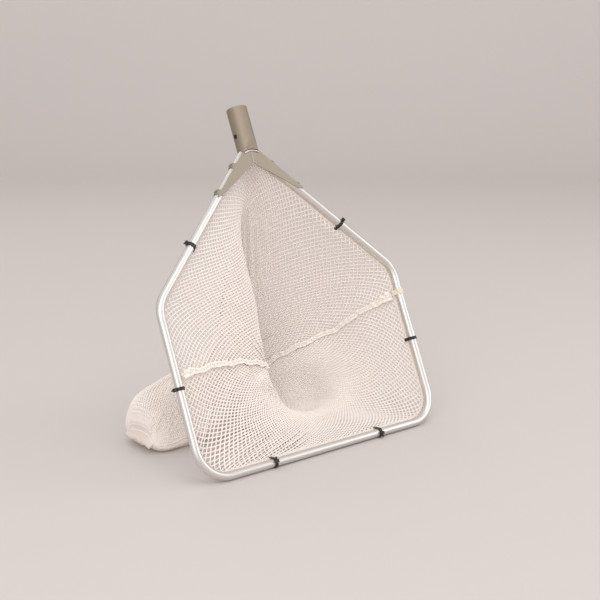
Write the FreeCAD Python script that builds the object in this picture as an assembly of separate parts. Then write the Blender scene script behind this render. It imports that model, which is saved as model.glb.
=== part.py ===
"""A leaf skimmer net: a five-sided hoop of bent tube with a pole socket and a bag of netting.

The hoop stands on its bottom bar and leans back, as it does with the bag laid out behind it.
Lengths are millimetres. X runs along the bottom bar, Y runs back, Z is up from the floor.
Frame pieces are drawn with the hoop upright, the front towards -Y, and then leaned back.
The bag is drawn with its Y counted from the bottom bar. At the end everything moves forward
so that the origin is on the floor in the middle of what the object covers.
"""

import FreeCAD
import Part
import math
import os

V = FreeCAD.Vector

# How far a cutter runs past what it cuts, and the shortest length that counts as one.
MARGIN = 1.0
TINY = 1e-9

# The hoop: one bent tube, measured to the middle of the tube.
TUBE_R = 6.0
TUBE_WALL = 1.2
HALF_WIDTH = 219.0
SIDE_HEIGHT = 250.0
APEX_HEIGHT = SIDE_HEIGHT + HALF_WIDTH
BEND_R = 45.0
APEX_CORD_R = 16.0
END_GAP = 0.5
LEAN = 25.0
SHOULDER_TURN = 22.5

# The two legs of the apex bracket: a plate in front of the tube with ears folded over it.
# Depths are across the leg, inwards from the middle of the tube; the taper is depth per length.
SHEET = 1.5
SEAT_GAP = 0.2
EAR_IN = TUBE_R + SEAT_GAP
EAR_OUT = EAR_IN + SHEET
PLATE_DEPTH = 20.5
PLATE_START = 20.5
PLATE_TAPER = 0.21
PLATE_OUT = 3.3
EAR_WIDTH = 9.0
LEG_LENGTH = 116.0
LEG_DROP = 75.5
LEG_END_HEIGHT = APEX_HEIGHT - LEG_DROP
MITRE_GAP = 0.1

# The rivets that hold each ear to the tube, by distance from the apex corner.
RIVET_AT = (47.1, 101.0)
RIVET_HEAD_R = 3.6
RIVET_HEAD_H = 1.7
RIVET_SHANK_R = 2.0
RIVET_HOLE_R = 2.15
RIVET_REACH = 5.0
RIVET_SEAT = 0.1

# The pole socket.
SOCKET_R = 16.0
SOCKET_WALL = 1.5
SOCKET_BORE_R = SOCKET_R - SOCKET_WALL
SOCKET_SINK = 13.0
SOCKET_LENGTH = 73.5
SOCKET_FOOT = APEX_HEIGHT - SOCKET_SINK
SOCKET_TOP = SOCKET_FOOT + SOCKET_LENGTH
SOCKET_EDGE = 0.6
POLE_DEPTH = 50.0
STOP_STEP = 0.6
NOTCH_GAP = 0.15
CLIP_HOLE_R = 4.0
CLIP_HOLE_DEPTH = 44.5
FLAT_HEIGHT = 18.0
FLAT_TOP = SOCKET_FOOT + FLAT_HEIGHT
FRONT_SEAT = 0.4
BACK_SEAT = 0.6
FLAT_FOOT_DEPTH = {1.0: EAR_OUT + FRONT_SEAT + SOCKET_WALL, -1.0: TUBE_R + BACK_SEAT + SOCKET_WALL}
ARCH_R = 30.0
ARCH_RISE = 5.0
ARCH_CROWN = SOCKET_FOOT + ARCH_RISE
WELD_R = 1.4
MITRE_WELD_R = 1.0
MITRE_WELD_LENGTH = 16.0
MITRE_WELD_TOP = SOCKET_FOOT + WELD_R
MITRE_WELD_FOOT = MITRE_WELD_TOP - MITRE_WELD_LENGTH

# The hem of the bag, behind the tube and a little inside the hoop.
HEM_R = 2.3
HEM_OFFSET = 6.0
HEM_BACK = 6.6
LEFT_SEAM_SHARE = 0.6
RIGHT_SEAM_SHARE = 0.82
LEFT_SEAM_HEIGHT = SIDE_HEIGHT * LEFT_SEAM_SHARE
RIGHT_SEAM_HEIGHT = SIDE_HEIGHT * RIGHT_SEAM_SHARE
SEAM_R = 1.6
SEAM_SIDES = 8
SEAM_START = 5.5
HEM_END_GAP = 1.0

# The cable ties: strap round the tube and the hem, with its head.
STRAP_T = 1.2
STRAP_W = 4.8
STRAP_GAP = 0.15
TIE_HEAD = (5.2, 4.8, 4.0)
TIE_TAIL = (2.4, 5.0, 1.0)

# The bottom bar's middle stands this far above the floor, on the straps of the two lower ties.
STAND = TUBE_R + STRAP_GAP + STRAP_T

# How far behind the bottom bar the middle of the whole object is, in half widths.
FOOT_MIDDLE_SHARE = 0.56621
FOOT_MIDDLE = HALF_WIDTH * FOOT_MIDDLE_SHARE

# The cord that lashes the right seam to the tube.
LASH_T = 1.5
LASH_W = 9.0
LASH_SHARE = 0.828
LASH_HEIGHT = SIDE_HEIGHT * LASH_SHARE

# The netting, a plain shell in the place of the mesh. The first step beside a seam gives up
# the seam gap, or the seam share of its length where it is short.
NET_T = 1.6
NET_RIM_OFFSET = 8.9
NET_SEAM_GAP = 2.6
SEAM_SHARE = 0.5
NET_CUT_GAP = 0.4
BETWEEN = 3
BEND_POINTS = 12

# The mesh as a plain grid of windows: the bars beside a window are this share of its cell.
BAR_SHARE = 0.15
WELD_DIGITS = 4
WELD_GAP = 0.001
TOE_BAR = (5.0, 86.0, 14.0)
TOE_EDGE = 2.0

# Lines that run down the bag, each from its place on the rim to the toe, left seam first
# and then over the apex, in half widths of the hoop. A rim place is (across, up the hoop):
# up to 1 it counts the side's height, and what is over 1 counts half widths above that.
BAG_LINES = (
    ((-0.959, LEFT_SEAM_SHARE), (-0.685, 0.434, 0.630), (-0.365, 0.571, 0.566),
     (-0.091, 0.685, 0.493), (0.027, 0.731, 0.411), (-0.091, 0.767, 0.283),
     (-0.388, 0.694, 0.146), (-0.822, 0.612, 0.041), (-0.977, 0.667, 0.082)),
    ((-0.954, 0.940), (-0.685, 0.584, 0.922), (-0.365, 0.667, 0.813),
     (-0.114, 0.712, 0.712), (-0.009, 0.749, 0.639), (-0.082, 0.849, 0.539),
     (-0.365, 0.886, 0.393), (-0.831, 0.731, 0.301), (-0.977, 0.721, 0.105)),
    ((-0.502, 1.438), (-0.329, 0.731, 1.301), (-0.164, 0.744, 1.096),
     (-0.046, 0.763, 0.913), (-0.009, 0.868, 0.858), (-0.064, 1.096, 0.753),
     (-0.205, 1.078, 0.493), (-0.831, 0.822, 0.361), (-0.977, 0.776, 0.114)),
    ((0.000, 1.872), (0.064, 0.968, 1.653), (0.037, 1.059, 1.438),
     (0.000, 1.110, 1.224), (-0.037, 1.137, 0.982), (-0.082, 1.142, 0.731),
     (-0.183, 1.114, 0.466), (-0.831, 0.913, 0.338), (-0.977, 0.849, 0.114)),
    ((0.502, 1.438), (0.438, 0.913, 1.224), (0.338, 1.078, 0.968),
     (0.219, 1.164, 0.694), (0.068, 1.187, 0.502), (-0.114, 1.169, 0.411),
     (-0.342, 1.123, 0.365), (-0.822, 0.995, 0.265), (-0.977, 0.932, 0.110)),
    ((0.954, 0.940), (0.813, 0.694, 0.927), (0.648, 0.904, 0.767),
     (0.457, 1.078, 0.594), (0.251, 1.160, 0.457), (0.000, 1.183, 0.365),
     (-0.297, 1.160, 0.265), (-0.813, 1.059, 0.155), (-0.977, 0.995, 0.100)),
    ((0.959, RIGHT_SEAM_SHARE), (0.849, 0.594, 0.763), (0.721, 0.813, 0.566),
     (0.557, 0.945, 0.475), (0.356, 1.064, 0.365), (0.100, 1.123, 0.256),
     (-0.274, 1.142, 0.119), (-0.804, 1.087, 0.037), (-0.977, 1.032, 0.082)),
    ((0.959, 0.420), (0.868, 0.388, 0.420), (0.740, 0.566, 0.374),
     (0.612, 0.721, 0.283), (0.475, 0.927, 0.155), (0.137, 1.059, 0.055),
     (-0.274, 1.068, 0.009), (-0.795, 1.023, 0.005), (-0.977, 0.950, 0.059)),
    ((0.922, 0.060), (0.799, 0.251, 0.114), (0.676, 0.438, 0.155),
     (0.566, 0.584, 0.164), (0.447, 0.804, 0.046), (0.137, 0.932, 0.005),
     (-0.274, 0.941, 0.005), (-0.795, 0.950, 0.005), (-0.977, 0.895, 0.055)),
    ((0.457, 0.036), (0.425, 0.219, 0.078), (0.420, 0.411, 0.091),
     (0.420, 0.548, 0.110), (0.301, 0.721, 0.014), (0.000, 0.849, 0.005),
     (-0.297, 0.849, 0.005), (-0.795, 0.877, 0.005), (-0.977, 0.840, 0.055)),
    ((0.000, 0.036), (0.100, 0.219, 0.068), (0.201, 0.411, 0.073),
     (0.274, 0.557, 0.091), (0.219, 0.703, 0.014), (0.000, 0.767, 0.005),
     (-0.297, 0.758, 0.005), (-0.799, 0.795, 0.005), (-0.977, 0.785, 0.055)),
    ((-0.457, 0.036), (-0.283, 0.219, 0.119), (-0.091, 0.429, 0.146),
     (0.110, 0.612, 0.146), (0.155, 0.703, 0.091), (-0.023, 0.731, 0.027),
     (-0.320, 0.712, 0.009), (-0.804, 0.712, 0.005), (-0.977, 0.731, 0.055)),
    ((-0.922, 0.060), (-0.639, 0.265, 0.265), (-0.342, 0.447, 0.329),
     (-0.046, 0.648, 0.338), (0.064, 0.717, 0.283), (-0.055, 0.744, 0.146),
     (-0.342, 0.703, 0.046), (-0.808, 0.648, 0.009), (-0.977, 0.685, 0.055)),
    ((-0.959, 0.340), (-0.685, 0.365, 0.447), (-0.388, 0.502, 0.466),
     (-0.114, 0.658, 0.429), (0.046, 0.726, 0.356), (-0.073, 0.758, 0.210),
     (-0.365, 0.699, 0.091), (-0.817, 0.621, 0.023), (-0.977, 0.667, 0.064)),
)
TOE_SHARE = -0.977
TOE_BAR_SHARE = (0.849, 0.082)
TOE_X = HALF_WIDTH * TOE_SHARE
LEFT_SEAM_LINE = 0
RIGHT_SEAM_LINE = 6

SIDE = {"left": -1.0, "right": 1.0}


def lean_back(shape):
    """Turn an upright piece back by the lean and set the bottom bar on the floor."""
    shape = shape.copy()
    shape.rotate(V(0, 0, 0), V(1, 0, 0), -LEAN)
    shape.translate(V(0, 0, STAND))
    return shape


def lean_point(u, height, front=0.0):
    """The place in the room of a point given in the hoop's own plane."""
    a = math.radians(LEAN)
    return V(u, height * math.sin(a) - front * math.cos(a),
             STAND + height * math.cos(a) + front * math.sin(a))


def corners(offset):
    """The hoop's five corners and bend radii, moved inwards by the offset."""
    half = HALF_WIDTH - offset
    shoulder = SIDE_HEIGHT - offset * math.tan(math.radians(SHOULDER_TURN))
    apex = APEX_HEIGHT - offset * math.sqrt(2.0)
    points = ((-half, offset), (half, offset), (half, shoulder), (0.0, apex), (-half, shoulder))
    turn = BEND_R - offset
    return points, (turn, turn, turn, APEX_CORD_R, turn)


def bends(offset):
    """For each corner: where the bend starts, its middle and where it ends."""
    points, radii = corners(offset)
    out = []
    for i, corner in enumerate(points):
        radius = radii[i]
        before = V(points[i - 1][0] - corner[0], points[i - 1][1] - corner[1], 0).normalize()
        after_point = points[(i + 1) % len(points)]
        after = V(after_point[0] - corner[0], after_point[1] - corner[1], 0).normalize()
        half = before.getAngle(after) / 2.0
        reach = radius / math.tan(half)
        middle = (before + after).normalize()
        inset = radius / math.sin(half) - radius
        c = V(corner[0], corner[1], 0)
        out.append((c + before * reach, c + middle * inset, c + after * reach))
    return out


def upright(p, front=0.0):
    """A point of the hoop's plane in the upright drawing."""
    return V(p.x, -front, p.y)


def loop_edges(offset, front=0.0):
    """The loop as lines and arcs, from the apex down the left leg and round."""
    parts = bends(offset)
    order = (3, 4, 0, 1, 2, 3)
    edges = []
    for here, there in zip(order[:-1], order[1:]):
        a, b, c = parts[here]
        if here == order[0] and not edges:
            edges.append(half_arc(b, c, parts[here], front))
        else:
            edges.append(Part.Arc(upright(a, front), upright(b, front), upright(c, front)).toShape())
        edges.append(Part.LineSegment(upright(c, front), upright(parts[there][0], front)).toShape())
    a, b, c = parts[order[-1]]
    edges.append(half_arc(a, b, parts[order[-1]], front))
    return edges


def half_arc(start, end, bend, front):
    """One half of a bend, as an arc through its own middle."""
    whole = Part.Arc(upright(bend[0], front), upright(bend[1], front), upright(bend[2], front)).toShape()
    centre = whole.Curve.Center
    radius = whole.Curve.Radius
    a = upright(start, front) - centre
    b = upright(end, front) - centre
    middle = centre + (a + b).normalize() * radius
    return Part.Arc(upright(start, front), middle, upright(end, front)).toShape()


def swept_rod(edges, radius):
    """A round rod along lines and arcs that meet smoothly: straight bars and bent ones, joined."""
    pieces = []
    for edge in edges:
        start = edge.valueAt(edge.FirstParameter)
        along = edge.tangentAt(edge.FirstParameter)
        if hasattr(edge.Curve, "Radius"):
            face = Part.Face(Part.Wire([Part.makeCircle(radius, start, along)]))
            turn = math.degrees(edge.Length / edge.Curve.Radius)
            axis = (start - edge.Curve.Center).cross(along)
            pieces.append(face.revolve(edge.Curve.Center, axis, turn))
        else:
            pieces.append(Part.makeCylinder(radius, edge.Length, start, along))
    return pieces[0].fuse(pieces[1:])


def box_between(low, high):
    """A box from its low corner to its high corner."""
    size = V(*high) - V(*low)
    return Part.makeBox(size.x, size.y, size.z, V(*low))


def prism(points, front_low, front_high):
    """A flat outline of the hoop's plane made into a plate between two front planes."""
    ring = [V(u, -front_low, height) for u, height in points]
    return drawn_out(ring, V(0, front_low - front_high, 0))


def drawn_out(ring, way):
    """A flat outline drawn out into a solid, with its faces the right way round."""
    solid = Part.Face(Part.makePolygon(ring + ring[:1])).extrude(way)
    if solid.Volume < 0:
        solid.reverse()
    return solid


def leg_point(side, along, outwards):
    """A place on a leg: distance from the apex corner, and outwards from the tube's middle."""
    k = 1.0 / math.sqrt(2.0)
    return side * k * (along + outwards), APEX_HEIGHT + k * (outwards - along)


def leg_way(side):
    """The direction of a leg, down from the apex corner."""
    k = 1.0 / math.sqrt(2.0)
    return V(side * k, 0, -k)


def leg_rod(side, radius):
    """A round bar on a leg's axis, from just above the apex corner."""
    u, height = leg_point(side, -radius, 0.0)
    return Part.makeCylinder(radius, LEG_LENGTH + radius, V(u, 0, height), leg_way(side))


def ear(side, along):
    """One ear: the sheet folded over the outer half of the tube."""
    u, height = leg_point(side, along - EAR_WIDTH / 2.0, 0.0)
    way = leg_way(side)
    ring = Part.makeCylinder(EAR_OUT, EAR_WIDTH, V(u, 0, height), way)
    ring = ring.cut(Part.makeCylinder(EAR_IN, EAR_WIDTH, V(u, 0, height), way))
    low = along - EAR_WIDTH
    high = along + EAR_WIDTH
    outer_half = [leg_point(side, low, 0.0), leg_point(side, high, 0.0),
                  leg_point(side, high, PLATE_DEPTH), leg_point(side, low, PLATE_DEPTH)]
    return ring.common(prism(outer_half, -EAR_OUT * 2, EAR_OUT * 2))


def leg_plate(side):
    """The flat front of a leg, which narrows towards its end."""
    end = LEG_LENGTH
    start_depth = PLATE_DEPTH + PLATE_TAPER * (PLATE_START + PLATE_DEPTH)
    end_depth = PLATE_DEPTH - PLATE_TAPER * (end - PLATE_START)
    outline = [leg_point(side, -PLATE_DEPTH, PLATE_OUT), leg_point(side, -PLATE_DEPTH, -start_depth),
               leg_point(side, end, -end_depth), leg_point(side, end, PLATE_OUT)]
    return prism(outline, EAR_IN, EAR_OUT)


def bracket_leg(side):
    """One leg of the apex bracket: the plate and its two ears."""
    leg = leg_plate(side).fuse([ear(side, along) for along in RIVET_AT])
    reach = LEG_LENGTH * 2
    if side < 0:
        keep = box_between((-reach, -SOCKET_R, LEG_END_HEIGHT), (-MITRE_GAP, SOCKET_R, SOCKET_TOP))
    else:
        keep = box_between((MITRE_GAP, -SOCKET_R, LEG_END_HEIGHT), (reach, SOCKET_R, SOCKET_TOP))
    leg = leg.common(keep)
    for along in RIVET_AT:
        leg = leg.cut(outward_pin(side, along, RIVET_HOLE_R, 0.0, EAR_OUT * 2))
    return leg.removeSplitter()


def outward_pin(side, along, radius, low, high):
    """A round pin through a leg, square to it, between two distances outwards."""
    u0, h0 = leg_point(side, along, low)
    u1, h1 = leg_point(side, along, high)
    way = V(u1 - u0, 0, h1 - h0)
    return Part.makeCylinder(radius, way.Length, V(u0, 0, h0), way)


def rivet(side, along):
    """A domed rivet with its shank through the ear and the tube's outer wall."""
    seat = EAR_OUT + RIVET_SEAT
    shank = outward_pin(side, along, RIVET_SHANK_R, EAR_OUT - RIVET_REACH, seat + RIVET_SEAT)
    ball_r = (RIVET_HEAD_R ** 2 + RIVET_HEAD_H ** 2) / (2 * RIVET_HEAD_H)
    u, height = leg_point(side, along, seat + RIVET_HEAD_H - ball_r)
    dome = Part.makeSphere(ball_r, V(u, 0, height))
    head = dome.common(outward_pin(side, along, RIVET_HEAD_R, seat, seat + RIVET_HEAD_H))
    return head.fuse(shank).removeSplitter()


def hoop_rod(radius):
    """The hoop as a solid round rod whose two ends meet in a mitre at the apex."""
    edges = loop_edges(0.0)[1:-1]
    rod = swept_rod(edges, radius)
    reach = LEG_LENGTH
    for side in SIDE.values():
        u, height = leg_point(side, -2 * TUBE_R, 0.0)
        end = Part.makeCylinder(radius, 2 * TUBE_R + APEX_CORD_R * 2, V(u, 0, height), leg_way(side))
        low = min(0.0, side * reach)
        end = end.common(box_between((low, -reach, 0.0), (low + reach, reach, SOCKET_TOP)))
        rod = rod.fuse(end)
    return rod


def hoop_tube():
    """The bent tube, mitred and open at its two ends inside the socket."""
    tube = hoop_rod(TUBE_R).cut(hoop_rod(TUBE_R - TUBE_WALL))
    half = END_GAP / 2.0
    gap = box_between((-half, -SOCKET_R, LEG_END_HEIGHT), (half, SOCKET_R, SOCKET_TOP))
    tube = tube.cut(gap)
    for side in SIDE.values():
        for along in RIVET_AT:
            tube = tube.cut(outward_pin(side, along, RIVET_HOLE_R, 0.0, EAR_OUT))
    return tube


def beyond_flat(front, wall):
    """What is cut away to flatten the socket's foot, in front or behind."""
    reach = SOCKET_R * 2
    drop = FLAT_TOP - SOCKET_FOOT
    slope = (SOCKET_R - FLAT_FOOT_DEPTH[front]) / drop
    top = FLAT_TOP + wall
    top_depth = SOCKET_R + slope * (top - FLAT_TOP) - wall
    low = SOCKET_FOOT - reach
    low_depth = SOCKET_R - slope * (FLAT_TOP - low) - wall
    ring = [V(-reach, -front * low_depth, low), V(-reach, -front * top_depth, top),
            V(-reach, -front * (reach + reach), top), V(-reach, -front * (reach + reach), low)]
    return drawn_out(ring, V(2 * reach, 0, 0))


def pole_socket():
    """The socket tube, notched over the bracket and flattened on to it at the foot."""
    height = SOCKET_TOP - SOCKET_FOOT
    outer = Part.makeCylinder(SOCKET_R, height, V(0, 0, SOCKET_FOOT))
    rim = [e for e in outer.Edges if abs(e.BoundBox.ZMin - SOCKET_TOP) < SEAT_GAP and e.isClosed()]
    outer = outer.makeFillet(SOCKET_EDGE, rim)
    stop = SOCKET_TOP - POLE_DEPTH
    inner = Part.makeCylinder(SOCKET_BORE_R - STOP_STEP, height, V(0, 0, SOCKET_FOOT - MARGIN))
    for front in (1.0, -1.0):
        outer = outer.cut(beyond_flat(front, 0.0))
        inner = inner.cut(beyond_flat(front, SOCKET_WALL))
    bore = Part.makeCylinder(SOCKET_BORE_R, POLE_DEPTH + MARGIN, V(0, 0, stop))
    tube = outer.cut([inner, bore])
    notch_r = TUBE_R + NOTCH_GAP
    for side in SIDE.values():
        tube = tube.cut(leg_rod(side, notch_r))
    ends = [leg_point(-1.0, LEG_LENGTH, 0.0), (0.0, APEX_HEIGHT), leg_point(1.0, LEG_LENGTH, 0.0)]
    tube = tube.cut(prism(ends, -notch_r, notch_r))
    out = PLATE_OUT + NOTCH_GAP
    ends = [leg_point(-1.0, LEG_LENGTH, out), leg_point(-1.0, -out, out), leg_point(1.0, LEG_LENGTH, out)]
    tube = tube.cut(prism(ends, 0.0, EAR_OUT + NOTCH_GAP))
    arch = Part.makeCylinder(ARCH_R, 4 * SOCKET_R, V(0, -2 * SOCKET_R, ARCH_CROWN - ARCH_R), V(0, 1, 0))
    tube = tube.cut(arch)
    pin_start = V(-2 * SOCKET_R, 0, SOCKET_TOP - CLIP_HOLE_DEPTH)
    pin = Part.makeCylinder(CLIP_HOLE_R, 4 * SOCKET_R, pin_start, V(1, 0, 0))
    return tube.cut(pin)


def socket_weld(front):
    """The weld bead under the socket's foot, on one face of the bracket."""
    middle = ARCH_CROWN - ARCH_R
    bead_ring = ARCH_R - WELD_R
    face = EAR_OUT if front > 0 else TUBE_R
    bead_front = face + WELD_R / 2.0
    bead = Part.makeTorus(bead_ring, WELD_R, V(0, -front * bead_front, middle), V(0, 1, 0))
    half = SOCKET_BORE_R - WELD_R
    if front > 0:
        keep = box_between((-half, -SOCKET_R, middle), (half, -face, SOCKET_TOP))
    else:
        keep = box_between((-half, face, middle), (half, SOCKET_R, SOCKET_TOP))
    return bead.common(keep)


def mitre_weld():
    """The weld bead down the joint between the two legs, on the front plate."""
    rod = Part.makeCylinder(MITRE_WELD_R, MITRE_WELD_TOP - MITRE_WELD_FOOT,
                            V(0, -EAR_OUT, MITRE_WELD_FOOT))
    top = Part.makeSphere(MITRE_WELD_R, V(0, -EAR_OUT, MITRE_WELD_TOP))
    foot = Part.makeSphere(MITRE_WELD_R, V(0, -EAR_OUT, MITRE_WELD_FOOT))
    bead = rod.fuse([top, foot])
    reach = SOCKET_R * 2
    low = MITRE_WELD_FOOT - reach
    return bead.common(box_between((-reach, -reach, low), (reach, -EAR_OUT, SOCKET_TOP)))


def hem_part(upper):
    """The hem above or below the two seam ends."""
    edges = loop_edges(HEM_OFFSET, -HEM_BACK)
    rod = swept_rod(edges, HEM_R)
    reach = 2 * HALF_WIDTH
    gap = HEM_END_GAP / 2.0
    sign = 1.0 if upper else -1.0
    outline = [(-reach, LEFT_SEAM_HEIGHT + sign * gap), (0.0, LEFT_SEAM_HEIGHT + sign * gap),
               (0.0, RIGHT_SEAM_HEIGHT + sign * gap), (reach, RIGHT_SEAM_HEIGHT + sign * gap),
               (reach, sign * 3 * reach), (-reach, sign * 3 * reach)]
    return rod.common(prism(outline, -SOCKET_R, SOCKET_R))


def strap_outline(inner_extra):
    """The strap's inner or outer face: one closed line round the tube and the hem."""
    big = TUBE_R + STRAP_GAP + inner_extra
    small = HEM_R + STRAP_GAP + inner_extra
    centre = V(-HEM_OFFSET, HEM_BACK, 0)
    away = centre.Length
    base = math.atan2(centre.y, centre.x)
    swing = math.acos((big - small) / away)
    edges = []
    a0 = base + swing
    a1 = base - swing
    big_start = V(big * math.cos(a0), big * math.sin(a0), 0)
    big_end = V(big * math.cos(a1), big * math.sin(a1), 0)
    big_mid = V(-big * math.cos(base), -big * math.sin(base), 0)
    small_start = centre + V(small * math.cos(a0), small * math.sin(a0), 0)
    small_end = centre + V(small * math.cos(a1), small * math.sin(a1), 0)
    small_mid = centre + V(small * math.cos(base), small * math.sin(base), 0)
    edges.append(Part.Arc(big_start, big_mid, big_end).toShape())
    edges.append(Part.LineSegment(big_end, small_end).toShape())
    edges.append(Part.Arc(small_end, small_mid, small_start).toShape())
    edges.append(Part.LineSegment(small_start, big_start).toShape())
    return Part.Face(Part.Wire(edges))


def strap_loop(thickness, width, swell=0.0):
    """A loop round the tube and hem, its section in XY with +X outwards and -Y to the front."""
    outer = strap_outline(thickness + swell).extrude(V(0, 0, width))
    inner = strap_outline(-swell).extrude(V(0, 0, width))
    loop = outer.cut(inner)
    loop.translate(V(0, 0, -width / 2.0))
    return loop


def tie_head(turn, tail_way):
    """A tie's head and cut tail, turned round the tube from straight out to the front."""
    wide, long, tall = TIE_HEAD
    out = TUBE_R + STRAP_GAP + STRAP_T / 2.0
    head = Part.makeBox(tall, long, wide, V(out, -long / 2.0, -wide / 2.0))
    head = head.makeFillet(SOCKET_EDGE, head.Edges)
    tail_w, tail_l, tail_t = TIE_TAIL
    start = out + tall / 2.0
    tail = Part.makeBox(tail_t, tail_l, tail_w, V(start, long / 2.0 - MARGIN, -tail_w / 2.0))
    if tail_way < 0:
        tail.rotate(V(start, 0, 0), V(1, 0, 0), 180)
    piece = head.fuse(tail)
    piece.rotate(V(0, 0, 0), V(0, 0, 1), -turn)
    return piece


def place_on_rim(shape, u, height, outwards_angle):
    """Move a piece drawn round the Z axis to the tube, with its +X pointing outwards."""
    shape = shape.copy()
    shape.rotate(V(0, 0, 0), V(0, 1, 0), -outwards_angle)
    shape.translate(V(u, 0, height))
    return shape


def cable_tie(u, height, outwards_angle, turn, tail_way):
    """A cable tie round the tube and the hem."""
    loop = strap_loop(STRAP_T, STRAP_W)
    bore = strap_outline(0.0).extrude(V(0, 0, 2 * TUBE_R))
    bore.translate(V(0, 0, -TUBE_R))
    head = tie_head(turn, tail_way).cut(bore)
    return place_on_rim(loop.fuse(head).removeSplitter(), u, height, outwards_angle)


# Each tie: its place on the tube's middle line, which way is out, how far the head is turned
# from straight out towards the front, and which way the tail points. A place on a leg is its
# distance from the apex corner; the others are shares of a side or of half the width.
LEFT_SHOULDER_AT = 201.4
RIGHT_SHOULDER_AT = 194.6
LEFT_SIDE_SHARE = 0.524
RIGHT_SIDE_SHARE = 0.5168
BOTTOM_LEFT_SHARE = 0.4566
BOTTOM_RIGHT_SHARE = 0.4543
LEFT_SHOULDER_TIE = (*leg_point(-1.0, LEFT_SHOULDER_AT, 0.0), 135.0, 0.0, 1.0)
LEFT_SIDE_TIE = (-HALF_WIDTH, SIDE_HEIGHT * LEFT_SIDE_SHARE, 180.0, 10.0, 1.0)
BOTTOM_LEFT_TIE = (-HALF_WIDTH * BOTTOM_LEFT_SHARE, 0.0, 270.0, 100.0, -1.0)
BOTTOM_RIGHT_TIE = (HALF_WIDTH * BOTTOM_RIGHT_SHARE, 0.0, 270.0, 80.0, 1.0)
RIGHT_SIDE_TIE = (HALF_WIDTH, SIDE_HEIGHT * RIGHT_SIDE_SHARE, 0.0, 150.0, 1.0)
RIGHT_SHOULDER_TIE = (*leg_point(1.0, RIGHT_SHOULDER_AT, 0.0), 45.0, 45.0, -1.0)
TIES = {
    "tie_left_shoulder": LEFT_SHOULDER_TIE,
    "tie_left_side": LEFT_SIDE_TIE,
    "tie_bottom_left": BOTTOM_LEFT_TIE,
    "tie_bottom_right": BOTTOM_RIGHT_TIE,
    "tie_right_side": RIGHT_SIDE_TIE,
    "tie_right_shoulder": RIGHT_SHOULDER_TIE,
}


def rim_stations():
    """The rim as a row of points of the hoop's plane, with the length to each."""
    parts = bends(NET_RIM_OFFSET)
    points = []
    for a, b, c in parts:
        arc = Part.Arc(upright(a), upright(b), upright(c)).toShape()
        points += [V(p.x, p.z, 0) for p in arc.discretize(BEND_POINTS)]
    lengths = [0.0]
    for p, q in zip(points, points[1:] + points[:1]):
        lengths.append(lengths[-1] + (q - p).Length)
    return points, lengths


def rim_place(place):
    """A rim place of the table, in millimetres of the hoop's plane."""
    across, up = place
    return HALF_WIDTH * across, SIDE_HEIGHT * min(up, 1.0) + HALF_WIDTH * max(up - 1.0, 0.0)


def rim_length_at(place, points, lengths):
    """How far round the rim the nearest point to a place is."""
    target = V(place[0], place[1], 0)
    best = None
    for i, p in enumerate(points):
        q = points[(i + 1) % len(points)]
        way = q - p
        t = max(0.0, min(1.0, (target - p).dot(way) / way.dot(way)))
        miss = (p + way * t - target).Length
        if best is None or miss < best[0]:
            best = (miss, lengths[i] + way.Length * t)
    return best[1]


def rim_point_at(length, points, lengths):
    """The rim point at a length round the rim."""
    total = lengths[-1]
    length = length % total
    for i, p in enumerate(points):
        if length <= lengths[i + 1]:
            q = points[(i + 1) % len(points)]
            t = (length - lengths[i]) / max(lengths[i + 1] - lengths[i], TINY)
            return p + (q - p) * t
    return points[0]


def smooth_between(p0, p1, p2, p3, t):
    """A point of the smooth curve through four points, between the middle two."""
    a = p1 * 2.0
    b = (p2 - p0) * t
    c = (p0 * 2.0 - p1 * 5.0 + p2 * 4.0 - p3) * (t * t)
    d = (p1 * 3.0 - p0 - p2 * 3.0 + p3) * (t * t * t)
    return (a + b + c + d) * 0.5


def bag_rings():
    """Closed rings of points from the rim to the toe, with the lines' places among them."""
    points, lengths = rim_stations()
    total = lengths[-1]
    marks = [rim_length_at(rim_place(line[0]), points, lengths) for line in BAG_LINES]
    count = len(BAG_LINES)
    rings = []
    rim = []
    for i in range(count):
        step = (marks[(i + 1) % count] - marks[i]) % total
        if step > total / 2.0:
            step -= total
        for k in range(BETWEEN):
            p = rim_point_at(marks[i] + step * k / BETWEEN, points, lengths)
            rim.append(lean_point(p.x, p.y, -HEM_BACK))
    rings.append(rim)
    for row in range(1, len(BAG_LINES[0])):
        keys = [V(*line[row]) * HALF_WIDTH for line in BAG_LINES]
        lowest = min(p.z for p in keys)
        ring = []
        for i in range(count):
            around = [keys[(i + j) % count] for j in (-1, 0, 1, 2)]
            for k in range(BETWEEN):
                p = smooth_between(*around, k / BETWEEN)
                ring.append(V(p.x, p.y, max(p.z, lowest)))
        rings.append(ring)
    return rings


def inward_ring(rings, row):
    """A ring moved into the bag by the netting's thickness."""
    ring = rings[row]
    n = len(ring)
    last = len(rings) - 1
    out = []
    for i in range(n):
        across = ring[(i + 1) % n] - ring[i - 1]
        if row == 0:
            down = lean_point(0, 0, 0) - lean_point(0, 0, 1)
        elif row == last:
            down = V(-1, 0, 0)
        else:
            down = rings[row + 1][i] - rings[row - 1][i]
        normal = down.cross(across)
        normal.normalize()
        out.append(ring[i] + normal * NET_T)
    return out


def panel_rows(first, last):
    """The outer and inner rows of points of one panel, from one seam to the other."""
    rings = bag_rings()
    n = len(rings[0])
    picks = []
    i = first * BETWEEN
    while True:
        picks.append(i % n)
        if i % n == (last * BETWEEN) % n:
            break
        i += 1
    rows = []
    for row in range(len(rings)):
        inner = inward_ring(rings, row)
        rows.append(([rings[row][k] for k in picks], [inner[k] for k in picks]))
    return rows


def end_moved(row, gap):
    """A row whose two ends are drawn in from the seams."""
    row = list(row)
    for end, near in ((0, 1), (-1, -2)):
        way = row[near] - row[end]
        row[end] = row[end] + way * min(gap / way.Length, SEAM_SHARE)
    return row


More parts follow.
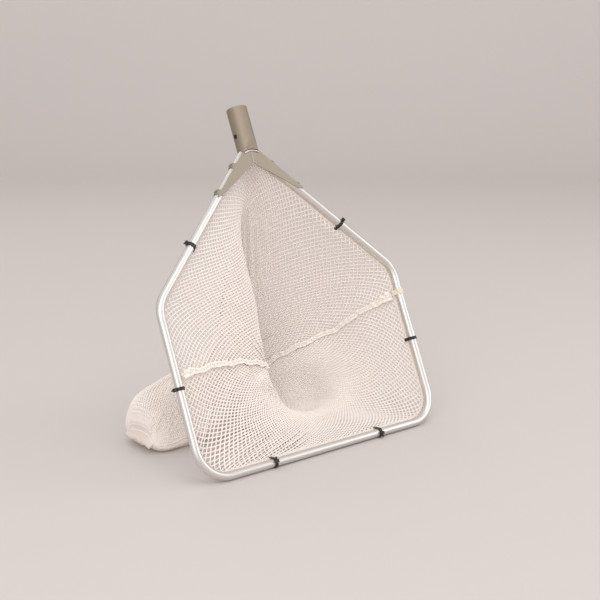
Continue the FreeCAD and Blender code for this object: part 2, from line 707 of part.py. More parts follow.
class Facets:
    """Three-cornered faces that close into one solid."""

    def __init__(self):
        self.points = []
        self.numbers = {}
        self.faces = []

    def number(self, p):
        """The number of a point, the same for points in one place."""
        key = (round(p.x, WELD_DIGITS), round(p.y, WELD_DIGITS), round(p.z, WELD_DIGITS))
        if key not in self.numbers:
            self.numbers[key] = len(self.points)
            self.points.append(V(*key))
        return self.numbers[key]

    def four(self, a, b, c, d):
        """A four-cornered patch, as two faces."""
        ids = [self.number(q) for q in (a, b, c, d)]
        for three in ((ids[0], ids[1], ids[2]), (ids[0], ids[2], ids[3])):
            if len(set(three)) == len(three):
                self.faces.append(three)

    def solid(self):
        """The faces joined up, with the inside on the right side."""
        shape = Part.Shape()
        shape.makeShapeFromMesh((self.points, self.faces), WELD_GAP)
        solid = Part.makeSolid(Part.Shell(shape.Faces))
        if solid.Volume < 0:
            solid.reverse()
        return solid


def in_cell(corners, across, down):
    """A point of a four-cornered cell by its shares across and down."""
    top = corners[0] * (1 - across) + corners[1] * across
    foot = corners[2] * (1 - across) + corners[3] * across
    return top * (1 - down) + foot * down


def window_points(rows, row, column):
    """The border and the window of one cell of the grid, two strips wide, in the same order."""
    top = rows[row]
    foot = rows[row + 1]
    left = (top[column], top[column + 1], foot[column], foot[column + 1])
    right = (top[column + 1], top[column + 2], foot[column + 1], foot[column + 2])
    border = [left[0], left[1], right[1], right[3], right[2], left[2]]
    near = 2 * BAR_SHARE
    window = [in_cell(left, near, BAR_SHARE), in_cell(left, 1, BAR_SHARE),
              in_cell(right, 1 - near, BAR_SHARE), in_cell(right, 1 - near, 1 - BAR_SHARE),
              in_cell(left, 1, 1 - BAR_SHARE), in_cell(left, near, 1 - BAR_SHARE)]
    return border, window


def net_panel(first, last):
    """One panel of the bag: a thin closed shell with a plain grid of windows for its mesh."""
    outer = []
    inner = []
    for out_row, in_row in panel_rows(first, last):
        outer.append(end_moved(out_row, NET_SEAM_GAP))
        inner.append(end_moved(in_row, NET_SEAM_GAP))
    last_row = len(outer) - 1
    strips = len(outer[0]) - 1
    skin = Facets()
    for row in range(last_row):
        for column in range(0, strips, 2):
            border, window = window_points(outer, row, column)
            border_in, window_in = window_points(inner, row, column)
            for k in range(len(border)):
                n = (k + 1) % len(border)
                skin.four(border[k], border[n], window[n], window[k])
                skin.four(border_in[n], border_in[k], window_in[k], window_in[n])
                skin.four(window[k], window[n], window_in[n], window_in[k])
    for column in range(strips):
        skin.four(outer[0][column + 1], outer[0][column], inner[0][column], inner[0][column + 1])
        skin.four(outer[last_row][column], outer[last_row][column + 1],
                  inner[last_row][column + 1], inner[last_row][column])
    for row in range(last_row):
        skin.four(outer[row][0], outer[row + 1][0], inner[row + 1][0], inner[row][0])
        skin.four(outer[row + 1][strips], outer[row][strips], inner[row][strips], inner[row + 1][strips])
    return skin.solid()


def seam_tape(line):
    """The rolled seam along one line of the bag, through eight-sided rings."""
    rings = bag_rings()
    index = line * BETWEEN
    points = []
    for row in range(len(rings)):
        middle = (rings[row][index] + inward_ring(rings, row)[index]) * 0.5
        points.append(middle)
    points[0] = points[0] + (points[1] - points[0]).normalize() * SEAM_START
    points[-1] = points[-1] - (points[-1] - points[-2]).normalize() * SEAM_R
    skin = Facets()
    hoops = []
    side = V(0, 0, 1)
    for k, p in enumerate(points):
        along = (points[min(k + 1, len(points) - 1)] - points[max(k - 1, 0)]).normalize()
        side = (side - along * side.dot(along)).normalize()
        up = along.cross(side)
        turns = [2 * math.pi * n / SEAM_SIDES for n in range(SEAM_SIDES)]
        hoops.append([p + (side * math.cos(a) + up * math.sin(a)) * SEAM_R for a in turns])
    for here, there in zip(hoops[:-1], hoops[1:]):
        for n in range(SEAM_SIDES):
            m = (n + 1) % SEAM_SIDES
            skin.four(here[n], there[n], there[m], here[m])
    for n in range(1, SEAM_SIDES - 1, 2):
        first = hoops[0]
        last = hoops[-1]
        skin.four(first[0], first[n], first[n + 1], first[(n + 2) % SEAM_SIDES])
        skin.four(last[0], last[(n + 2) % SEAM_SIDES], last[n + 1], last[n])
    return skin.solid()


def toe_seam():
    """The rolled seam that closes the toe."""
    deep, wide, tall = TOE_BAR
    middle_y, middle_z = [HALF_WIDTH * share for share in TOE_BAR_SHARE]
    bar = box_between((TOE_X - deep, middle_y - wide / 2.0, middle_z - tall / 2.0),
                      (TOE_X, middle_y + wide / 2.0, middle_z + tall / 2.0))
    return bar.makeFillet(TOE_EDGE, [e for e in bar.Edges if e.BoundBox.XMax < TOE_X - MARGIN])


def lashing():
    """The cord wound round the tube and the hem where the right seam ends."""
    loop = strap_loop(LASH_T, LASH_W)
    return place_on_rim(loop, HALF_WIDTH, LASH_HEIGHT, 0.0)


def tie_clearance(place, thickness, width):
    """The space round a loop that the netting leaves free."""
    u, height, outwards_angle = place[:3]
    grown = strap_outline(thickness + NET_CUT_GAP).extrude(V(0, 0, width + 2 * NET_CUT_GAP))
    grown.translate(V(0, 0, -width / 2.0 - NET_CUT_GAP))
    return lean_back(place_on_rim(grown, u, height, outwards_angle))


def main():
    os.makedirs("parts", exist_ok=True)
    shapes = {}
    shapes["hoop_tube"] = lean_back(hoop_tube())
    for name, side in SIDE.items():
        shapes["bracket_leg_" + name] = lean_back(bracket_leg(side))
    shapes["bracket_rivets"] = lean_back(Part.makeCompound(
        [rivet(side, along) for side in SIDE.values() for along in RIVET_AT]))
    shapes["pole_socket"] = lean_back(pole_socket())
    shapes["socket_weld_front"] = lean_back(socket_weld(1.0))
    shapes["socket_weld_back"] = lean_back(socket_weld(-1.0))
    shapes["mitre_weld"] = lean_back(mitre_weld())
    for name, place in TIES.items():
        shapes[name] = lean_back(cable_tie(*place))
    shapes["hem_upper"] = lean_back(hem_part(True))
    shapes["hem_lower"] = lean_back(hem_part(False))
    shapes["seam_lashing_right"] = lean_back(lashing())
    loops = [tie_clearance(place, STRAP_T, STRAP_W) for place in TIES.values()]
    loops.append(tie_clearance((HALF_WIDTH, LASH_HEIGHT, 0.0), LASH_T, LASH_W))
    shapes["net_upper_panel"] = net_panel(LEFT_SEAM_LINE, RIGHT_SEAM_LINE).cut(loops)
    shapes["net_lower_panel"] = net_panel(RIGHT_SEAM_LINE, LEFT_SEAM_LINE).cut(loops)
    shapes["seam_left"] = seam_tape(LEFT_SEAM_LINE)
    shapes["seam_right"] = seam_tape(RIGHT_SEAM_LINE)
    shapes["toe_seam"] = toe_seam()
    for name, shape in shapes.items():
        shape.translate(V(0, -FOOT_MIDDLE, 0))
        box = shape.BoundBox
        print(name, shape.isValid(), len(shape.Solids), round(shape.Volume, 1),
              [round(x, 1) for x in (box.XMin, box.XMax, box.YMin, box.YMax, box.ZMin, box.ZMax)])
        shape.exportStep("parts/" + name + ".step")


main()
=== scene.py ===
"""The looks of a leaf skimmer net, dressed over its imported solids.

The netting is built as real threads on a slack bag that is let down into its folds. The hem,
the ruffled seams, the sewn toe and the lashing are modelled pieces too, and the metal and the
cable ties are the solids themselves with their own finishes. Lengths are millimetres until
make_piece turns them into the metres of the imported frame, and the studio is in metres.
"""

import math

import bpy
import numpy as np
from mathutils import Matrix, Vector


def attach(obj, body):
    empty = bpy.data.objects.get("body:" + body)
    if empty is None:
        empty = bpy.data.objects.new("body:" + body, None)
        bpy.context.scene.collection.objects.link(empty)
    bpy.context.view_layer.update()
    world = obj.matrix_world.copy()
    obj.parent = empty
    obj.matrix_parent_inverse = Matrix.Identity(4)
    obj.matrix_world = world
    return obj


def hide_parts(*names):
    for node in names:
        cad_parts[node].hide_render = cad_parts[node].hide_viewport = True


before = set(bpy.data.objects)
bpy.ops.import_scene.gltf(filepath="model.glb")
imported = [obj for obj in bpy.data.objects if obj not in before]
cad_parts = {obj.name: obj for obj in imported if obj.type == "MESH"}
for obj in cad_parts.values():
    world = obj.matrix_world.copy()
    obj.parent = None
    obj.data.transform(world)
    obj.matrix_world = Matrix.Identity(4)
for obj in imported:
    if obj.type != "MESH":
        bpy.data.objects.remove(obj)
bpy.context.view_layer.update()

MM = 0.001
TINY = 1e-9

# The hoop to the middle of its tube, as in the part's source. It leans back, and the middle of
# its bottom bar is STAND above the floor and FOOT_MIDDLE in front of the room's middle.
TUBE_R = 6.0
HALF_WIDTH = 219.0
SIDE_HEIGHT = 250.0
APEX_HEIGHT = SIDE_HEIGHT + HALF_WIDTH
BEND_R = 45.0
APEX_CORD_R = 16.0
SHOULDER_HALF_TURN = math.radians(22.5)
LEAN = math.radians(25.0)
STAND = 7.35
FOOT_MIDDLE = 124.0

# The hem and the rim of the netting, behind the hoop and inside it.
HEM_OFFSET = 6.0
HEM_BACK = 6.6
HEM_R = 2.1
NET_RIM_OFFSET = 8.0

# Half a mesh of the netting, its threads, and the grains where two threads are braided. A
# thread lies a little off the bag's surface, and its width varies. Joints that are nearer to
# each other than NEAREST_JOINTS count as one.
MESH_HALF_ACROSS = 4.5
MESH_HALF_DOWN = 4.65
THREAD_HALF_WIDTH = 1.22
THREAD_HALF_DEPTH = 0.85
THREAD_LIFT = 0.12
THREAD_UNEVEN = 0.12
THREAD_UNEVEN_MOST = 1.5
THREAD_SEED = 3
GRAIN_HALF = 2.5
GRAIN_HALF_DEPTH = 1.45
NEAREST_JOINTS = 0.6

# Each panel is cut straight down to here, and then tapers to this share of its width.
TAPER_FROM = 0.5
TOE_MESHES = 0.5

# Lines that run down the bag, each from its place on the rim to the toe: the left seam first
# and then over the apex. A rim place is (across, up the hoop). The others are (x, y, z) in the
# room, with y counted back from the hoop's bottom bar.
TOE_X = -208.0
BAG_LINES = (
    ((-210, 150), (-150, 95, 138), (-80, 125, 124), (-20, 150, 108), (6, 160, 90),
     (-20, 168, 62), (-85, 154, 34), (-180, 142, 16), (TOE_X, 150, 18)),
    ((-209, 235), (-150, 128, 202), (-80, 146, 178), (-25, 156, 156), (-2, 164, 140),
     (-18, 186, 118), (-82, 194, 90), (-188, 162, 70), (TOE_X, 160, 24)),
    ((-110, 346), (-72, 160, 285), (-36, 163, 240), (-10, 167, 200), (-2, 190, 188),
     (-14, 240, 165), (-60, 232, 112), (-196, 182, 82), (TOE_X, 170, 27)),
    ((0, 441), (14, 212, 362), (8, 232, 315), (0, 243, 268), (-8, 249, 215),
     (-18, 250, 160), (-60, 242, 108), (-201, 200, 80), (TOE_X, 184, 27)),
    ((110, 346), (96, 200, 268), (74, 236, 212), (48, 255, 152), (15, 260, 110),
     (-25, 256, 90), (-85, 246, 84), (-202, 216, 66), (TOE_X, 200, 25)),
    ((209, 235), (178, 152, 203), (142, 198, 168), (100, 236, 130), (55, 254, 100),
     (0, 259, 80), (-70, 254, 60), (-198, 228, 42), (TOE_X, 212, 22)),
    ((210, 205), (186, 130, 167), (158, 178, 124), (122, 207, 104), (78, 233, 80),
     (22, 246, 56), (-60, 250, 28), (-190, 232, 14), (TOE_X, 218, 18)),
    ((210, 105), (190, 85, 92), (162, 124, 82), (134, 158, 62), (104, 203, 34),
     (30, 232, 12), (-60, 234, 2), (-178, 222, 2), (TOE_X, 204, 13)),
    ((202, 15), (175, 55, 25), (148, 96, 34), (124, 128, 36), (98, 176, 10),
     (30, 204, 1), (-60, 206, 1), (-174, 208, 1), (TOE_X, 196, 12)),
    ((100, 9), (93, 48, 17), (92, 90, 20), (92, 120, 24), (66, 158, 3),
     (0, 186, 1), (-65, 186, 1), (-174, 192, 1), (TOE_X, 184, 12)),
    ((0, 9), (22, 48, 15), (44, 90, 16), (60, 122, 20), (48, 154, 3),
     (0, 168, 1), (-65, 166, 1), (-175, 174, 1), (TOE_X, 172, 12)),
    ((-100, 9), (-62, 48, 26), (-20, 94, 32), (24, 134, 32), (34, 154, 20),
     (-5, 160, 6), (-70, 156, 2), (-176, 156, 1), (TOE_X, 160, 12)),
    ((-202, 15), (-140, 58, 58), (-75, 98, 72), (-10, 142, 74), (14, 157, 62),
     (-12, 163, 32), (-75, 156, 11), (-177, 148, 5), (TOE_X, 153, 13)),
    ((-210, 85), (-150, 80, 98), (-85, 110, 102), (-25, 144, 94), (10, 159, 78),
     (-16, 166, 46), (-80, 155, 22), (-179, 144, 10), (TOE_X, 150, 15)),
)
LEFT_SEAM_LINE = 0
RIGHT_SEAM_LINE = 6

# Points between two lines, and rows between two points of a line.
ACROSS = 16
DOWN = 10

# How near to the floor the bag's middle surface, the threads and the seams may come.
BAG_FLOOR = 1.2
NET_FLOOR = 0.3
SEAM_FLOOR = 0.4

# How much wider than the open bag the netting is at each row of the lines, rim to toe,
# and how much longer all the way down.
FULLNESS = (1.0, 1.005, 1.01, 1.015, 1.02, 1.03, 1.05, 1.05, 1.02)
LENGTH_FULLNESS = 1.015

# How much of a miss the cloth takes up in one turn: between two points that are too far
# apart, and between two that are too near.
ACROSS_GIVE = (0.5, 0.45)
DOWN_GIVE = (0.8, 0.25)
SLANT_GIVE = (0.5, 0.05)

# What keeps folds from being sharp: over so many steps across, or over two down, two points
# keep at least this share of their distance, and this much of a miss is taken up.
BENDS_ACROSS = ((2, 0.93, 0.22), (4, 0.85, 0.12))
BEND_DOWN = (0.98, 0.3)

# The unevenness that the folds grow from: its size, the waves round the bag and down it
# that it is drawn from, and its seed.
FOLD_RIPPLES = ((0.3, (16, 30), (0.0, 0.6), 7), (1.5, (5, 12), (0.0, 0.7), 11))
RIPPLE_WAVES = 14

# A random wave starts somewhere in this range, in radians.
ANY_PHASE = 6.28


# Small sums for paths and uneven waves

def unit(vectors):
    """Vectors made one long."""
    return vectors / np.maximum(np.linalg.norm(vectors, axis=-1, keepdims=True), TINY)


def run_along(points):
    """How far along a path each of its points lies."""
    return np.concatenate([[0.0], np.cumsum(np.linalg.norm(np.diff(points, axis=0), axis=1))])


def resample(points, marks, wanted):
    """A path's points at the wanted marks, from the marks that its points have."""
    return np.array([np.interp(wanted, marks, points[:, i]) for i in range(points.shape[1])]).T


def wobble(length, seed, waves):
    """Uneven waves along a length, between -1 and 1, from a fixed seed."""
    rng = np.random.default_rng(seed)
    out = np.zeros(len(length))
    for wave in waves:
        phase = rng.uniform(0, ANY_PHASE)
        out += np.sin(length / wave * 2 * math.pi + phase) * rng.uniform(0.6, 1.0)
    return out / len(waves)


def ripple(count, rows, waves_across, waves_down, seed):
    """A smooth random field that closes on itself across, mostly between -1 and 1."""
    rng = np.random.default_rng(seed)
    across = np.linspace(0.0, 2 * math.pi, count, endpoint=False)[None, :]
    down = np.linspace(0.0, 1.0, rows)[:, None]
    field = np.zeros((rows, count))
    for _ in range(RIPPLE_WAVES):
        turns = int(rng.integers(waves_across[0], waves_across[1] + 1))
        slow = rng.uniform(*waves_down)
        field += np.sin(turns * across + rng.uniform(0, ANY_PHASE) + slow * down * 2 * math.pi
                        * rng.choice([-1.0, 1.0])) * rng.uniform(0.5, 1.0)
    return field / 4.0


# Places on the hoop

def in_room(u, height, front=0.0):
    """A point of the hoop's plane, in the room, in millimetres."""
    u, height, front = np.broadcast_arrays(np.asarray(u, float), height, front)
    y = height * math.sin(LEAN) - front * math.cos(LEAN) - FOOT_MIDDLE
    z = STAND + height * math.cos(LEAN) + front * math.sin(LEAN)
    return np.stack([u, y, z], axis=-1)


# Straight out of the hoop's front.
FRONT = np.array([0.0, -math.cos(LEAN), math.sin(LEAN)])


def rounded_loop(offset, step=3.0):
    """The hoop's line moved inwards, as close points from the left foot anticlockwise."""
    half = HALF_WIDTH - offset
    shoulder = SIDE_HEIGHT - offset * math.tan(SHOULDER_HALF_TURN)
    apex = APEX_HEIGHT - offset * math.sqrt(2.0)
    corners = np.array([(-half, offset), (half, offset), (half, shoulder), (0.0, apex),
                        (-half, shoulder)])
    radii = (BEND_R - offset,) * 3 + (APEX_CORD_R, BEND_R - offset)
    points = []
    for k, (corner, radius) in enumerate(zip(corners, radii)):
        before = corners[k - 1] - corner
        after = corners[(k + 1) % len(corners)] - corner
        before /= np.linalg.norm(before)
        after /= np.linalg.norm(after)
        half_angle = math.acos(float(before @ after)) / 2.0
        reach = radius / math.tan(half_angle)
        inwards = (before + after) / np.linalg.norm(before + after)
        middle = corner + inwards * radius / math.sin(half_angle)
        start = corner + before * reach - middle
        end = corner + after * reach - middle
        a0 = math.atan2(start[1], start[0])
        sweep = (math.atan2(end[1], end[0]) - a0 + math.pi) % (2 * math.pi) - math.pi
        count = max(3, int(abs(sweep) * radius / step))
        for i in range(count + 1):
            a = a0 + sweep * i / count
            points.append(middle + radius * np.array([math.cos(a), math.sin(a)]))
    points = np.array(points)
    out = []
    for p, q in zip(points, np.roll(points, -1, axis=0)):
        count = max(1, int(np.linalg.norm(q - p) / step))
        out += [p + (q - p) * i / count for i in range(count)]
    return np.array(out)


class Loop:
    """A closed line that is asked for points by length."""

    def __init__(self, points):
        self.points = np.vstack([points, points[:1]])
        self.lengths = run_along(self.points)
        self.total = self.lengths[-1]

    def at(self, length):
        """Points at lengths from the loop's start, round and round."""
        return np.stack([np.interp(np.mod(length, self.total), self.lengths, self.points[:, i])
                         for i in range(self.points.shape[1])], axis=-1)

    def nearest(self, place):
        """The length of the loop's point that is nearest to a place."""
        return self.lengths[np.argmin(np.linalg.norm(self.points - np.asarray(place, float), axis=1))]


# The bag's surface

def between(p0, p1, p2, p3, t):
    """The smooth curve through four points, between the middle two."""
    return 0.5 * (p1 * 2.0 + (p2 - p0) * t + (p0 * 2.0 - p1 * 5.0 + p2 * 4.0 - p3) * t ** 2
                  + (p1 * 3.0 - p0 - p2 * 3.0 + p3) * t ** 3)


def bag_rim():
    """The first row: points on the netting's rim, spaced evenly between the bag's lines."""
    rim = Loop(rounded_loop(NET_RIM_OFFSET))
    marks = np.array([rim.nearest(line[0]) for line in BAG_LINES])
    row = []
    for mark, following in zip(marks, np.roll(marks, -1)):
        step = (following - mark + rim.total / 2) % rim.total - rim.total / 2
        row.append(rim.at(mark + step * np.arange(ACROSS) / ACROSS))
    row = np.vstack(row)
    return in_room(row[:, 0], row[:, 1], -HEM_BACK)


def bag_ring(row):
    """A later row: a smooth closed ring through that point of every line."""
    keys = np.array([line[row] for line in BAG_LINES], float)
    keys[:, 1] -= FOOT_MIDDLE
    t = (np.arange(ACROSS) / ACROSS)[:, None]
    lines = len(BAG_LINES)
    return np.vstack([between(*[keys[(k + j) % lines] for j in (-1, 0, 1, 2)], t)
                      for k in range(lines)])


def bag_target():
    """The bag before it slackens: rows from rim to toe of points round it."""
    rows = np.array([bag_rim()] + [bag_ring(row) for row in range(1, len(BAG_LINES[0]))])
    last = len(rows) - 1
    fine = []
    for row in range(last):
        four = [rows[max(0, min(last, row + j))] for j in (-1, 0, 1, 2)]
        fine += [between(*four, i / DOWN) for i in range(DOWN)]
    fine = np.array(fine + [rows[last]])
    fine[..., 2] = np.maximum(fine[..., 2], BAG_FLOOR)
    return fine


def surface_normals(points):
    """Directions square to a grid of points that closes on itself across."""
    across = np.roll(points, -1, axis=1) - np.roll(points, 1, axis=1)
    return unit(np.cross(np.gradient(points, axis=0), across))


def bag_links(index, across_rest, down_rest):
    """Pairs of the bag's points with their rest lengths, in sets that share no point.

    Each set ends with its two shares of a miss, for too far apart and too near. Neighbours
    and diagonals keep the cloth's size. The longer links only resist folding, so that the
    folds come out as wide as soft netting makes them.
    """
    rows, count = index.shape
    inner = index[1:-1]
    rest = across_rest[1:-1]
    links = []
    for start in range(2):
        cols = np.arange(start, count, 2)
        links.append((inner[:, cols], np.roll(inner, -1, 1)[:, cols], rest[:, cols], ACROSS_GIVE))
    for start in range(2):
        low = np.arange(start, rows - 1, 2)
        links.append((index[low], index[low + 1], down_rest[low], DOWN_GIVE))
    slant = np.sqrt(across_rest[:-1] ** 2 + down_rest ** 2)
    for lean in (1, -1):
        for start in range(2):
            low = np.arange(start, rows - 1, 2)
            links.append((index[low], np.roll(index, -lean, 1)[low + 1], slant[low], SLANT_GIVE))
    for span, kept, squeeze in BENDS_ACROSS:
        rest = rest + np.roll(rest, -(span // 2), 1)
        for start in range(2 * span):
            cols = np.arange(start, count, 2 * span)
            links.append((inner[:, cols], np.roll(inner, -span, 1)[:, cols], rest[:, cols] * kept,
                          (0.0, squeeze)))
    kept, squeeze = BEND_DOWN
    tall = (down_rest[:-1] + down_rest[1:]) * kept
    for start in range(4):
        low = np.arange(start, rows - 2, 4)
        links.append((index[low], index[low + 2], tall[low], (0.0, squeeze)))
    return [(a.ravel(), b.ravel(), length.ravel(), give) for a, b, length, give in links]


def pull(points, free, a, b, rest, give):
    """Bring pairs of points towards their rest length, each point by how free it is."""
    way = points[b] - points[a]
    length = np.maximum(np.linalg.norm(way, axis=-1), TINY)
    miss = length - rest
    share = np.where(miss > 0, *give) * miss / length
    move = way * share[..., None]
    total = np.maximum(free[a] + free[b], TINY)
    points[a] += move * (free[a] / total)[..., None]
    points[b] -= move * (free[b] / total)[..., None]


def fold_start(rows, count):
    """The small unevenness that the folds grow from, none of it at the rim or the toe.

    It grows over the bag's first sixth and fades over its last eighth.
    """
    field = sum(ripple(count, rows, *waves) * size for size, *waves in FOLD_RIPPLES)
    depth = np.linspace(0.0, 1.0, rows)[:, None]
    return field * (np.clip(depth * 6.0, 0.0, 1.0) * np.clip((1 - depth) * 8.0, 0.0, 1.0))


def slackened(target, turns=150, sag=0.03, reach=9.0, homing=0.004, seam_free=0.35):
    """The bag let down: extra width goes into folds that run down it, and it sags a little.

    Every point is drawn back slightly to where it began, and half of what it strays past its
    reach is taken back in each turn.
    """
    rows, count, _ = target.shape
    fullness = np.interp(np.linspace(0, len(FULLNESS) - 1, rows), range(len(FULLNESS)), FULLNESS)
    across_rest = np.linalg.norm(np.roll(target, -1, 1) - target, axis=-1) * fullness[:, None]
    down_rest = np.linalg.norm(np.diff(target, axis=0), axis=-1) * LENGTH_FULLNESS
    free = np.ones((rows, count))
    free[[0, -1]] = 0.0
    free[:, [LEFT_SEAM_LINE * ACROSS, RIGHT_SEAM_LINE * ACROSS]] *= seam_free
    free = free.ravel()
    links = bag_links(np.arange(rows * count).reshape(rows, count), across_rest, down_rest)
    folds = surface_normals(target) * fold_start(rows, count)[..., None]
    points = (target + folds).reshape(-1, 3)
    home = target.reshape(-1, 3)
    for _ in range(turns):
        points[:, 2] -= sag * free
        for link in links:
            pull(points, free, *link)
        off = points - home
        length = np.linalg.norm(off, axis=-1)
        over = np.maximum(length - reach, 0.0) / np.maximum(length, TINY)
        points -= off * (over * 0.5 + homing)[:, None]
        points[:, 2] = np.maximum(points[:, 2], BAG_FLOOR)
    points = points.reshape(rows, count, 3)
    points[0] = target[0]
    points[-1] = target[-1]
    return points


class Bag:
    """The slack surface, asked for points by fractional row and column."""

    def __init__(self):
        self.target = bag_target()
        self.points = slackened(self.target)
        self.rows, self.count, _ = self.points.shape
        self.normals = surface_normals(self.points)
        self.split = RIGHT_SEAM_LINE * ACROSS

    def smooth(self, field, row, col):
        """A field of the surface between its own points."""
        row = np.clip(row, 0, self.rows - 1.0001)
        r0 = np.floor(row).astype(int)
        c0 = np.floor(col).astype(int)
        tr = (row - r0)[..., None]
        tc = (col - c0)[..., None]
        lines = []
        for i in (-1, 0, 1, 2):
            r = np.clip(r0 + i, 0, self.rows - 1)
            lines.append(between(*[field[r, (c0 + j) % self.count] for j in (-1, 0, 1, 2)], tc))
        return between(*lines, tr)

    def at(self, row, col):
        """Places on the surface."""
        return self.smooth(self.points, row, col)

    def inwards(self, row, col):
        """Directions into the bag."""
        return unit(self.smooth(self.normals, row, col))


bag = Bag()


# Meshes

def put_in_scene(name, data):
    """A new object in the scene."""
    item = bpy.data.objects.new(name, data)
    bpy.context.scene.collection.objects.link(item)
    return item


def make_piece(name, verts, faces, uv, node, slot, floor=None):
    """A smooth piece from millimetres, kept above a floor, that stands for a node's solid."""
    verts = np.array(verts, float)
    if floor is not None:
        verts[:, 2] = np.maximum(verts[:, 2], floor)
    mesh = bpy.data.meshes.new(name)
    mesh.vertices.add(len(verts))
    mesh.vertices.foreach_set("co", (verts * MM).ravel())
    mesh.loops.add(faces.size)
    mesh.loops.foreach_set("vertex_index", faces.ravel())
    mesh.polygons.add(len(faces))
    mesh.polygons.foreach_set("loop_start", np.arange(len(faces)) * faces.shape[1])
    mesh.update(calc_edges=True)
    mesh.validate()
    mesh.polygons.foreach_set("use_smooth", np.ones(len(mesh.polygons), bool))
    layer = mesh.uv_layers.new(name="along")
    layer.data.foreach_set("uv", uv[faces.ravel()].ravel())
    piece = put_in_scene(name, mesh)
    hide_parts(node)
    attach(piece, "root")
    return piece


def join(parts):
    """Several (verts, faces, uv) put together."""
    verts, faces, uvs = [], [], []
    start = 0
    for v, f, uv in parts:
        verts.append(v)
        faces.append(f + start)
        uvs.append(uv)
        start += len(v)
    return np.vstack(verts), np.vstack(faces), np.vstack(uvs)


def frames_along(path, hint):
    """Side and up directions along a path, from a direction that up should lean to."""
    tangent = unit(np.gradient(path, axis=0))
    side = unit(np.cross(tangent, np.broadcast_to(hint, path.shape)))
    return side, np.cross(side, tangent)


def rod(path, side, up, half_width, half_depth, corners=4):
    """A closed thread or rod along a path, with an even number of corners in its section."""
    n = len(path)
    half_width = np.broadcast_to(half_width, n)[:, None, None]
    half_depth = np.broadcast_to(half_depth, n)[:, None, None]
    angles = np.arange(corners) * 2 * math.pi / corners
    ring = (path[:, None] + side[:, None] * (np.cos(angles)[None, :, None] * half_width)
            + up[:, None] * (np.sin(angles)[None, :, None] * half_depth))
    i = np.arange(n - 1)[:, None] * corners
    j = np.arange(corners)[None, :]
    k = (j + 1) % corners
    walls = np.stack([i + j, i + k, i + corners + k, i + corners + j], axis=-1).reshape(-1, 4)
    fan = np.array([(0, m, m + 1, m + 2) for m in range(1, corners - 2, 2)])
    faces = np.vstack([walls, fan[:, ::-1], fan + (n - 1) * corners])
    uv = np.stack(np.broadcast_arrays(run_along(path)[:, None] * MM, j / corners), axis=-1)
    return ring.reshape(-1, 3), faces, uv.reshape(-1, 2)


def line_rod(path, hint, half_width, half_depth, corners=4):
    """A rod that takes its directions from its own path."""
    return rod(path, *frames_along(path, hint), half_width, half_depth, corners)


def sheet_solid(grid, half, length):
    """A closed thin sheet from a grid of points, rows by columns."""
    rows, cols, _ = grid.shape
    normal = unit(np.cross(np.gradient(grid, axis=0), np.gradient(grid, axis=1)))
    verts = np.vstack([(grid + normal * half).reshape(-1, 3), (grid - normal * half).reshape(-1, 3)])
    ids = np.arange(rows * cols).reshape(rows, cols)
    top = np.stack([ids[:-1, :-1], ids[:-1, 1:], ids[1:, 1:], ids[1:, :-1]], -1).reshape(-1, 4)
    low = top[:, ::-1] + rows * cols
    rim = np.concatenate([ids[0, :], ids[1:, -1], ids[-1, -2::-1], ids[-2:0:-1, 0]])
    nxt = np.roll(rim, -1)
    wall = np.stack([rim, rim + rows * cols, nxt + rows * cols, nxt], -1)
    uv = np.stack(np.broadcast_arrays(length[:, None] * MM, np.linspace(0, 1, cols)[None, :]), -1)
    uv = uv.reshape(-1, 2)
    return verts, np.vstack([top, low, wall]), np.vstack([uv, uv])


# Netting

